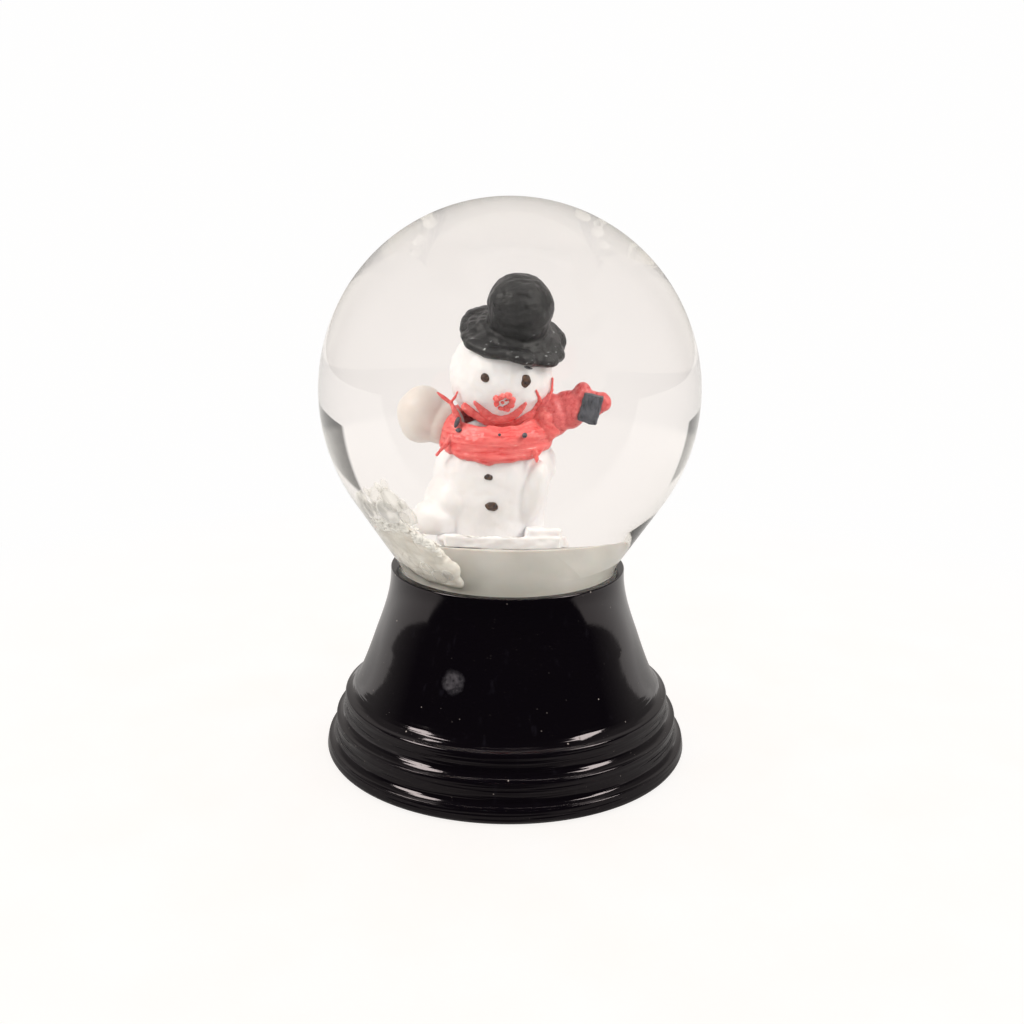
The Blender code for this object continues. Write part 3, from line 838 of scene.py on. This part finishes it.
def make_nose(red):
    """A ring of paint blotches with paler skin showing in the middle."""
    bm = bmesh.new()
    random.seed(5)
    petals = 8
    x, z = NOSE
    for i in range(petals):
        turn = 2 * pi * i / petals + 0.3
        reach = random.uniform(0.56, 0.72)
        place = on_head(x + reach * 1.15 * cos(turn), z + reach * sin(turn), 0.08)
        size = random.uniform(0.24, 0.40)
        add_ellipsoid(bm, place, (size, 0.26, size * random.uniform(0.7, 1.0)), segments=14, rings=10)
    add_ellipsoid(bm, on_head(x - 0.16, z - 0.05, 0.05), (0.2, 0.2, 0.15), segments=14, rings=10)
    add_ellipsoid(bm, on_head(x + 0.2, z + 0.15, 0.05), (0.18, 0.2, 0.1), segments=14, rings=10)
    nose = fused("painted_nose", bm, red, 0.05, 1, [(0.1, 0.35)])
    settle(nose, GLOBE, "red_paint", "nose")


def make_mouth(red):
    """A curved stroke, and a thinner one that hooks up the cheek."""
    bm = bmesh.new()
    count = 13
    path = []
    widths = []
    for i in range(count):
        t = 2 * i / (count - 1) - 1
        path.append(on_head(-0.85 + 2.3 * t, 42.6 + 1.5 * t * t))
        widths.append(0.18 + 0.42 * (1 - t * t))
    add_stroke(bm, path, widths, 0.2)
    hook = ((2.35, 45.2), (2.65, 44.2), (2.15, 43.3), (1.3, 42.5), (0.3, 42.0))
    add_stroke(bm, [on_head(x, z, 0.05) for x, z in hook], [0.12, 0.22, 0.26, 0.26, 0.2], 0.15)
    mouth = fused("painted_mouth", bm, red, 0.07, 2, [(0.06, 0.3)])
    settle(mouth, GLOBE, "red_paint", "mouth")


def make_dots(dark, body):
    """Eyes and buttons."""
    dots = (
        ("eye_dot_right", "eye_right", on_head(-2.3, 46.45), (0.42, 0.24, 0.42)),
        ("eye_dot_left", "eye_left", on_head(1.4, 46.15), (0.50, 0.26, 0.60)),
        ("button_dot_upper", "button_upper", on_front(body, -1.85, 37.35), (0.42, 0.28, 0.30)),
        ("button_dot_lower", "button_lower", on_front(body, -1.55, 34.66), (0.62, 0.32, 0.42)),
    )
    for name, node, place, radii in dots:
        bm = bmesh.new()
        add_ellipsoid(bm, place, radii, (0, 12, 0))
        dot = fused(name, bm, dark, 0.05, 2, [(0.08, 0.4)])
        settle(dot, GLOBE, "dark_paint", node)


def scarf_ring(turn):
    """Middle height, half height and reach of the scarf at an angle round the neck."""
    front = 0.5 - 0.5 * sin(turn)
    side = cos(turn)
    middle = 42.1 - 1.85 * front**1.5 + 0.2 * side
    half = 1.4 + 0.3 * front
    reach = 4.0 + 0.5 * front
    return middle, half, reach


def make_scarf(red):
    bm = bmesh.new()
    around = 96
    across = 28
    rings = []
    for i in range(around):
        turn = 2 * pi * i / around
        middle, half, reach = scarf_ring(turn)
        wobble = noise.noise(Vector((3 * cos(turn), 3 * sin(turn), 4.0)))
        ring = []
        for k in range(across):
            a = 2 * pi * k / across
            height = half * (1 + 0.12 * wobble) * sin(a)
            out = reach + 0.82 * cos(a) - 0.3 * height / half
            out += 0.09 * sin(5 * a)
            x = BODY_X + out * cos(turn)
            ring.append(bm.verts.new((x, out * sin(turn), middle + height)))
        rings.append(ring)
    for i in range(around):
        upper, lower = rings[i], rings[(i + 1) % around]
        for k in range(across):
            n = (k + 1) % across
            bm.faces.new((upper[k], lower[k], lower[n], upper[n]))
    add_ellipsoid(bm, (3.3, -1.9, 42.2), (1.1, 1.2, 1.8), (0, -8, 0))
    add_ellipsoid(bm, (3.5, -1.7, 41.6), (1.2, 1.1, 1.1), (0, -25, 0))
    under_chin = [on_head(-0.65 + 0.64 * i, 42.05 + 0.06 * i * i, 0.15) for i in range(-5, 6)]
    add_stroke(bm, under_chin, [0.42] * len(under_chin), 0.3)
    add_fringe(bm)
    bmesh.ops.recalc_face_normals(bm, faces=bm.faces)
    scarf = fused("painted_scarf", bm, red, 0.10, 2, [(0.14, 1.1), (0.05, 0.35)])
    settle(scarf, GLOBE, "red_paint", "scarf")


def add_fringe(bm):
    """Loose strokes of paint at the scarf's edges, one of them up the side of the face."""
    cheek = ((3.0, -2.7, 42.6), (3.5, -1.9, 43.8), (3.75, -1.3, 45.0), (3.8, -0.9, 46.1))
    ends = (
        (((-5.2, -3.0, 41.0), (-5.8, -3.2, 40.1), (-6.7, -2.9, 39.0)), (0.24, 0.20, 0.10)),
        (((-4.6, -2.8, 42.4), (-5.3, -2.3, 43.8), (-6.7, -1.8, 44.8)), (0.26, 0.20, 0.09)),
        (((-5.3, -2.3, 43.9), (-4.9, -2.4, 44.4), (-4.7, -2.4, 44.9)), (0.14, 0.12, 0.08)),
        (((2.3, -4.2, 39.6), (2.5, -4.5, 39.1), (2.5, -4.5, 38.8)), (0.30, 0.24, 0.14)),
        (cheek, (0.4, 0.26, 0.16, 0.10)),
    )
    for points, widths in ends:
        add_stroke(bm, [Vector(p) for p in points], widths, 0.18)


def make_arms(pale, arm_red, slate):
    bm = bmesh.new()
    add_ellipsoid(bm, (-7.7, 0.9, 42.3), (2.3, 2.1, 2.55))
    add_ellipsoid(bm, (-6.0, 0.6, 41.6), (2.0, 1.8, 1.9))
    plain = fused("arm_unpainted", bm, pale, 0.15, 6, [(0.14, 1.8)])
    settle(plain, GLOBE, "figure_white", "plain_arm")

    bm = bmesh.new()
    for place, radii in (
        ((3.7, -1.2, 42.7), (1.9, 1.7, 2.0)),
        ((5.3, -1.1, 43.2), (1.8, 1.45, 1.75)),
        ((6.5, -1.1, 43.9), (1.15, 1.2, 1.75)),
        ((7.5, -1.1, 43.7), (1.1, 1.1, 1.25)),
        ((8.15, -1.1, 43.9), (0.95, 0.9, 0.95)),
    ):
        add_ellipsoid(bm, place, radii)
    arm = fused("arm_painted", bm, arm_red, 0.12, 5, [(0.10, 1.2), (0.04, 0.4)])
    settle(arm, GLOBE, "dull_red_paint", "painted_arm")

    bm = bmesh.new()
    add_plate(bm, (7.25, -2.05, 43.45), (1.8, 0.8, 2.6), (0, 14, 0))
    patch = fused("arm_dark_patch", bm, slate, 0.07, 9, [(0.2, 0.7)])
    settle(patch, GLOBE, "dark_paint", "arm_patch")

    bm = bmesh.new()
    for place, radii, turn in (
        ((-4.75, -3.3, 42.2), (0.22, 0.35, 0.55), 20),
        ((-4.6, -3.5, 41.5), (0.3, 0.3, 0.2), 0),
        ((1.4, -4.95, 41.3), (0.24, 0.25, 0.26), 30),
        ((-0.9, -5.15, 41.35), (0.14, 0.2, 0.14), 0),
    ):
        add_ellipsoid(bm, place, radii, (0, turn, 0))
    add_ellipsoid(bm, on_head(1.5, 47.35), (0.55, 0.12, 0.12), (0, 12, 0))
    settle(to_object("scarf_dark_spots", bm, slate), GLOBE, "dark_paint")


# ---- snow


def add_flake(bm, centre, radius, thickness, facing, curl, sides=0):
    """One thin, uneven, slightly curled plate of plastic snow; its rim is marked for the material."""
    rim_mark = bm.verts.layers.float.get("rim") or bm.verts.layers.float.new("rim")
    sides = sides or random.randint(6, 9)
    turn = Vector((0, 0, 1)).rotation_difference(Vector(facing)).to_matrix()
    spin = random.uniform(0, 2 * pi)
    rim = []
    for i in range(sides):
        angle = spin + 2 * pi * i / sides
        reach = radius * random.uniform(0.78, 1.06)
        rim.append((reach * cos(angle), reach * sin(angle)))
    faces = []
    for side in (1, -1):
        middle = bm.verts.new(Vector(centre) + turn @ Vector((0, 0, side * thickness / 2)))
        ring = []
        for x, y in rim:
            lift = curl * (x * x - 0.4 * y * y) / radius + side * thickness * 0.35
            ring.append(bm.verts.new(Vector(centre) + turn @ Vector((x, y, lift))))
            ring[-1][rim_mark] = 1.0
        faces.append((middle, ring))
    (top, upper), (bottom, lower) = faces
    for i in range(sides):
        j = (i + 1) % sides
        bm.faces.new((top, upper[i], upper[j]))
        bm.faces.new((bottom, lower[j], lower[i]))
        bm.faces.new((upper[i], lower[i], lower[j], upper[j]))


def wall_radius(z, offset):
    """Inner radius of the globe at a height, less a further offset."""
    radius = GLOBE_RADIUS - GLASS_WALL - offset
    limit = GLOBE_CENTRE_Z + radius * sin(SHOULDER_ANGLE)
    if z > limit:
        return sqrt(max(radius**2 - (z - GLOBE_CENTRE_Z) ** 2, 0.0))
    return radius * cos(SHOULDER_ANGLE) - (limit - z) * tan(-SHOULDER_ANGLE)


def along(points, x):
    """Height on a line of (x, height) points."""
    for (x0, h0), (x1, h1) in zip(points, points[1:]):
        if x0 <= x <= x1:
            return h0 + (h1 - h0) * (x - x0) / (x1 - x0)
    return points[0][1] if x < points[0][0] else points[-1][1]


def on_ring(reach, azimuth, z):
    """Point at a distance from the globe's axis; azimuth in degrees from +X."""
    return Vector((reach * cos(radians(azimuth)), reach * sin(radians(azimuth)), z))


def make_drift(mass):
    """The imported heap, banked up against the wall."""
    bm = bmesh.new()
    random.seed(21)
    azimuth = DRIFT_TOP[0][0] + DRIFT_STEP
    while azimuth < DRIFT_TOP[-1][0] - 3.0:
        top = along(DRIFT_TOP, azimuth) - LUMP
        z = along(DRIFT_BOTTOM, azimuth) + LUMP / 2
        while z < top + 0.3:
            outer = wall_radius(z, LUMP + 0.1)
            reach = max(STOPPER_RADIUS + LUMP, outer - 4.4 * (top - z) / 8.0)
            while reach < outer + LUMP:
                turn = azimuth + random.uniform(-1.0, 1.0)
                size = LUMP * random.uniform(0.9, 1.0)
                place = on_ring(min(reach, outer), turn, min(z, top))
                add_ellipsoid(bm, place, (size, size, size), segments=10, rings=7)
                reach += LUMP
            z += 0.8 * LUMP
        azimuth += DRIFT_STEP
    heap = fused("drift_core", bm, mass, 0.22, 7, [(0.16, 1.2)])
    settle(heap, GLOBE, "flake_white", "snow_drift")


def tilted(direction, amount):
    """A direction turned a little at random."""
    return (direction + Vector([random.uniform(-amount, amount) for _ in range(3)])).normalized()


def make_drift_flakes(snow):
    """Bright flakes on the heap: against the glass just under its crest, and lying on top of it."""
    bm = bmesh.new()
    first = DRIFT_TOP[0][0] + 4
    last = DRIFT_TOP[-1][0] - 5
    for _ in range(230):
        azimuth = random.uniform(first, last)
        z = along(DRIFT_TOP, azimuth) - random.uniform(0.0, 1.5)
        reach = wall_radius(z, 0.45) - random.uniform(0.0, 0.2)
        facing = tilted(on_ring(1.0, azimuth, random.uniform(0.2, 1.0)), 0.3)
        place = on_ring(reach, azimuth, z)
        add_flake(bm, place, random.uniform(0.25, 0.6), 0.12, facing, random.uniform(-0.1, 0.3))
    for _ in range(60):
        azimuth = random.uniform(first, last)
        z = along(DRIFT_TOP, azimuth) + random.uniform(-0.2, 0.3)
        facing = Vector((random.uniform(-0.5, 0.5), random.uniform(-0.9, 0.1), 1.0)).normalized()
        place = on_ring(wall_radius(z, 0.5) - random.uniform(0.0, 2.6), azimuth, z)
        add_flake(bm, place, random.uniform(0.25, 0.55), 0.12, facing, random.uniform(-0.2, 0.3))
    add_slab_flakes(bm)
    settle(to_object("drift_flakes", bm, snow), GLOBE, "flake_white")


def add_slab_flakes(bm):
    """A dusting of crumbs along the front of the slab."""
    for _ in range(70):
        x = random.uniform(slab_low.x + 1.0, 2.2)
        y = slab_low.y + random.uniform(0.1, 1.4)
        facing = Vector((random.uniform(-0.4, 0.4), random.uniform(-0.4, 0.4), 1.0)).normalized()
        add_flake(bm, (x, y, SLAB_FLAT_Z + 0.04), random.uniform(0.10, 0.24), 0.08, facing, 0.1)


def make_film(wet):
    """Wet flakes that cling to the glass: large ones above the crest, small ones higher, three low."""
    bm = bmesh.new()
    first = FILM_TOP[0][0] + 4
    width = FILM_TOP[-1][0] - FILM_TOP[0][0] - 6
    for count, size, highest in ((9, 1.75, 0.7), (13, 0.8, 1.0)):
        for i in range(count):
            azimuth = first + width * (i + random.random()) / count
            low = along(DRIFT_TOP, azimuth)
            z = low + (along(FILM_TOP, azimuth) - low) * highest * random.uniform(0.35, 1.0)
            place = on_ring(wall_radius(z, 0.12 + 0.08 * (i % 3)), azimuth, z)
            facing = on_ring(1.0, azimuth, (z - GLOBE_CENTRE_Z) / GLOBE_RADIUS)
            add_flake(bm, place, size * random.uniform(0.8, 1.1), 0.05, facing.normalized(), 0.03, 12)
    for azimuth, z, size in ((229.0, 26.4, 1.0), (235.0, 25.4, 1.25), (240.0, 25.8, 0.9)):
        facing = on_ring(1.0, azimuth, -tan(-SHOULDER_ANGLE))
        add_flake(bm, on_ring(wall_radius(z, 0.16), azimuth, z), size, 0.05, facing.normalized(), 0.03, 12)
    settle(to_object("wet_flakes", bm, wet), GLOBE, "flake_white")


def make_loose_flakes(snow):
    """Each loose flake is a little curled stack that moves with its group."""
    random.seed(33)
    for body, nodes in frame["record"]["behaviour"]["bodies"].items():
        if body == GLOBE:
            continue
        for node in nodes:
            low, high = span(node)
            centre = (low + high) / 2
            bm = bmesh.new()
            for lift in (-0.16, 0.12):
                shift = Vector((random.uniform(-0.2, 0.2), random.uniform(-0.2, 0.2), lift))
                facing = Vector((random.uniform(-0.3, 0.3), random.uniform(-0.3, 0.3), 1.0))
                add_flake(bm, centre + shift, random.uniform(0.7, 0.92), 0.16, facing.normalized(), 0.12)
            flake = to_object("loose_" + node, bm, snow)
            settle(flake, body, "flake_white", node)


# ---- stage and lighting


def make_floor():
    """A pale table that gives an even, soft light; its front edge is dark in reflections."""
    bm = bmesh.new()
    bmesh.ops.create_circle(bm, cap_ends=True, segments=96, radius=4000.0)
    g = Graph("pale_floor")
    x, y, _ = g.split()
    rays = g.add("ShaderNodeLightPath").outputs
    mottle = g.noise(14.0, 4.0)
    away = g.hypotenuse(x, y)
    # Painted shade: near the base the floor's glow is dimmed by up to 70 percent in glossy reflections.
    near_shade_in_reflections = g.times(g.ramp(away, 0.035, 0.12, 0.70, 0.0), rays["Is Glossy Ray"])
    glow = g.times(g.math("SUBTRACT", 1.0, near_shade_in_reflections), FLOOR_GLOW)
    flat = g.add("ShaderNodeEmission", Color=g.mix(mottle, WARM, PALE), Strength=glow)
    lit = g.add("ShaderNodeBsdfDiffuse", Color=g.mix(mottle, (0.20, 0.195, 0.19), (0.23, 0.225, 0.22)))
    near = g.add("ShaderNodeAddShader")
    g.put(near.inputs[0], flat)
    g.put(near.inputs[1], lit)
    far = g.add("ShaderNodeEmission", Color=PALE, Strength=1.0)
    fade = g.times(g.ramp(away, 0.04, 0.13), rays["Is Camera Ray"])
    surface = g.blend(fade, near, far)
    edge = g.math("ADD", y, g.times(g.math("ABSOLUTE", x), 0.2))
    front = g.times(g.ramp(edge, -0.023, -0.032), rays["Is Glossy Ray"])
    dark = g.add("ShaderNodeEmission", Color=(0.9, 0.95, 1.0, 1.0), Strength=ROOM_GLOW)
    surface = g.blend(front, surface, dark)
    depth = g.ramp(away, 0.05, 0.30, THROUGH_GLOW_NEAR, THROUGH_GLOW_LOW)
    through = g.add("ShaderNodeEmission", Color=THROUGH, Strength=depth)
    g.show(g.blend(rays["Is Transmission Ray"], surface, through))
    to_object("floor", bm, g.material)


def seen_from_camera(g):
    """A direction's part to the camera's right and its level part ahead: the studio turns with the view."""

    def to_camera(vector):
        node = g.add("ShaderNodeVectorTransform", Vector=vector)
        node.vector_type, node.convert_from, node.convert_to = "VECTOR", "WORLD", "CAMERA"
        return node.outputs["Vector"]

    def combine(operation, a, b):
        node = g.add("ShaderNodeVectorMath")
        node.operation = operation
        g.put(node.inputs[0], a)
        g.put(node.inputs[1], b)
        return node.outputs["Value" if operation == "DOT_PRODUCT" else "Vector"]

    direction = to_camera(g.coords)
    up = to_camera((0.0, 0.0, 1.0))
    left = combine("CROSS_PRODUCT", (0.0, 0.0, 1.0), up)
    ahead = combine("CROSS_PRODUCT", up, left)
    rightwards = g.times(combine("DOT_PRODUCT", direction, left), -1.0)
    return rightwards, combine("DOT_PRODUCT", direction, ahead)


def make_world():
    """A white paper sweep behind, dim sides, a dark room in front, and pale for the camera."""
    world = bpy.data.worlds.new("studio")
    bpy.context.scene.world = world
    world.use_nodes = True
    world.node_tree.nodes.clear()
    g = Graph("", world.node_tree)
    g.output = g.add("ShaderNodeOutputWorld")
    z = g.split()["Z"]
    rays = g.add("ShaderNodeLightPath").outputs
    bearing = g.math("ARCTAN2", *seen_from_camera(g))
    turn = g.math("ABSOLUTE", bearing)
    sweep = g.ramp(turn, radians(50), radians(38), 0.0, SWEEP_GLOW)
    sides = g.ramp(turn, radians(100), radians(70), 0.0, SIDE_GLOW)
    front = g.math("MULTIPLY_ADD", rays["Is Diffuse Ray"], FRONT_FILL, ROOM_GLOW)
    strength = g.math("ADD", g.math("ADD", front, sides), sweep)
    top = g.ramp(z, sin(radians(58)), sin(radians(75)), 1.0, 0.35)
    set_up = g.add("ShaderNodeBackground", Color=WARM, Strength=g.times(strength, top))
    shifted = g.math("ABSOLUTE", g.math("ADD", bearing, radians(5.0)))
    gap = g.times(g.ramp(shifted, radians(36), radians(38)), g.ramp(z, 0.27, 0.24))
    open_sky = g.ramp(z, 0.0, 0.55, THROUGH_GLOW_LOW, THROUGH_GLOW_HIGH)
    kept = g.ramp(gap, 0.0, 1.0, 1.0, 0.06)
    behind = g.add("ShaderNodeBackground", Color=THROUGH, Strength=g.times(open_sky, kept))
    plain = g.add("ShaderNodeBackground", Color=PALE, Strength=1.0)
    surface = g.blend(rays["Is Transmission Ray"], set_up, behind)
    g.show(g.blend(rays["Is Camera Ray"], surface, plain))


def softbox(name, azimuth):
    """A rectangular lamp that faces the globe; azimuth runs from the front towards +X."""
    a, e = radians(azimuth), radians(LAMP_ELEVATION)
    away = Vector((sin(a) * cos(e), -cos(a) * cos(e), sin(e)))
    lamp = bpy.data.lights.new(name, "AREA")
    lamp.shape = "RECTANGLE"
    lamp.size, lamp.size_y = (side * MM for side in LAMP_SIZE)
    lamp.energy = LAMP_POWER
    lamp.color = LAMP_COLOUR
    obj = new_object(name, lamp)
    obj.location = (LAMP_AIM + away * LAMP_DISTANCE) * MM
    obj.rotation_euler = (-away).to_track_quat("-Z", "Y").to_euler()
    obj.light_linking.receiver_collection = lit_things()


def lit_things():
    """The lamps shine on everything but the stage, the glass and the water."""
    name = "lit_by_lamps"
    if name not in bpy.data.collections:
        group = bpy.data.collections.new(name)
        for obj in bpy.context.scene.objects:
            if obj.type == "MESH" and obj.name not in ("floor", "globe_glass", "globe_water"):
                group.objects.link(obj)
    return bpy.data.collections[name]


def make_camera():
    """A close-up lens a hand's breadth away, looking slightly down."""
    data = bpy.data.cameras.new("camera")
    data.sensor_width = 36.0
    data.lens = CAMERA_LENS
    data.clip_start, data.clip_end = 0.005, 20.0
    camera = new_object("camera", data)
    yaw = Matrix.Rotation(radians(CAMERA_YAW), 4, "Z")
    pitch = Matrix.Rotation(radians(90 + CAMERA_PITCH), 4, "X")
    roll = Matrix.Rotation(radians(CAMERA_ROLL), 4, "Z")
    camera.matrix_world = Matrix.Translation(CAMERA_PLACE * MM) @ yaw @ pitch @ roll
    bpy.context.scene.camera = camera


def main():
    white = resin_white("figure_white", (0.80, 0.778, 0.80), (0.875, 0.857, 0.885))
    # Painted shade: a darker copy of the figure's white resin for the unpainted arm, which sits back in the
    # scarf's shadow.
    pale = resin_white("figure_white_shaded", (0.70, 0.63, 0.60), (0.79, 0.73, 0.71), 0.4)
    red = brushed_red("red_paint", (0.72, 0.080, 0.080), (0.88, 0.20, 0.19), (0.93, 0.62, 0.58))
    arm_red = brushed_red("dull_red_paint", (0.60, 0.070, 0.075), (0.82, 0.18, 0.18), (0.86, 0.48, 0.46))
    slate = slate_paint()
    snow = flake_white()
    make_base(black_plastic())
    make_vessel()
    make_bung()
    make_slab(white)
    body = make_body(white)
    make_head(white)
    make_hat(hat_paint())
    make_nose(red)
    make_mouth(red)
    make_dots(dark_paint(), body)
    make_scarf(red)
    make_arms(pale, arm_red, slate)
    make_drift(shaded_snow_mass())
    make_drift_flakes(snow)
    make_film(flake_wet())
    make_loose_flakes(snow)
    make_floor()
    make_world()
    softbox("left_lamp", -LAMP_AZIMUTH)
    softbox("right_lamp", LAMP_AZIMUTH)
    make_camera()
    bpy.context.scene.view_settings.view_transform = "Standard"


main()
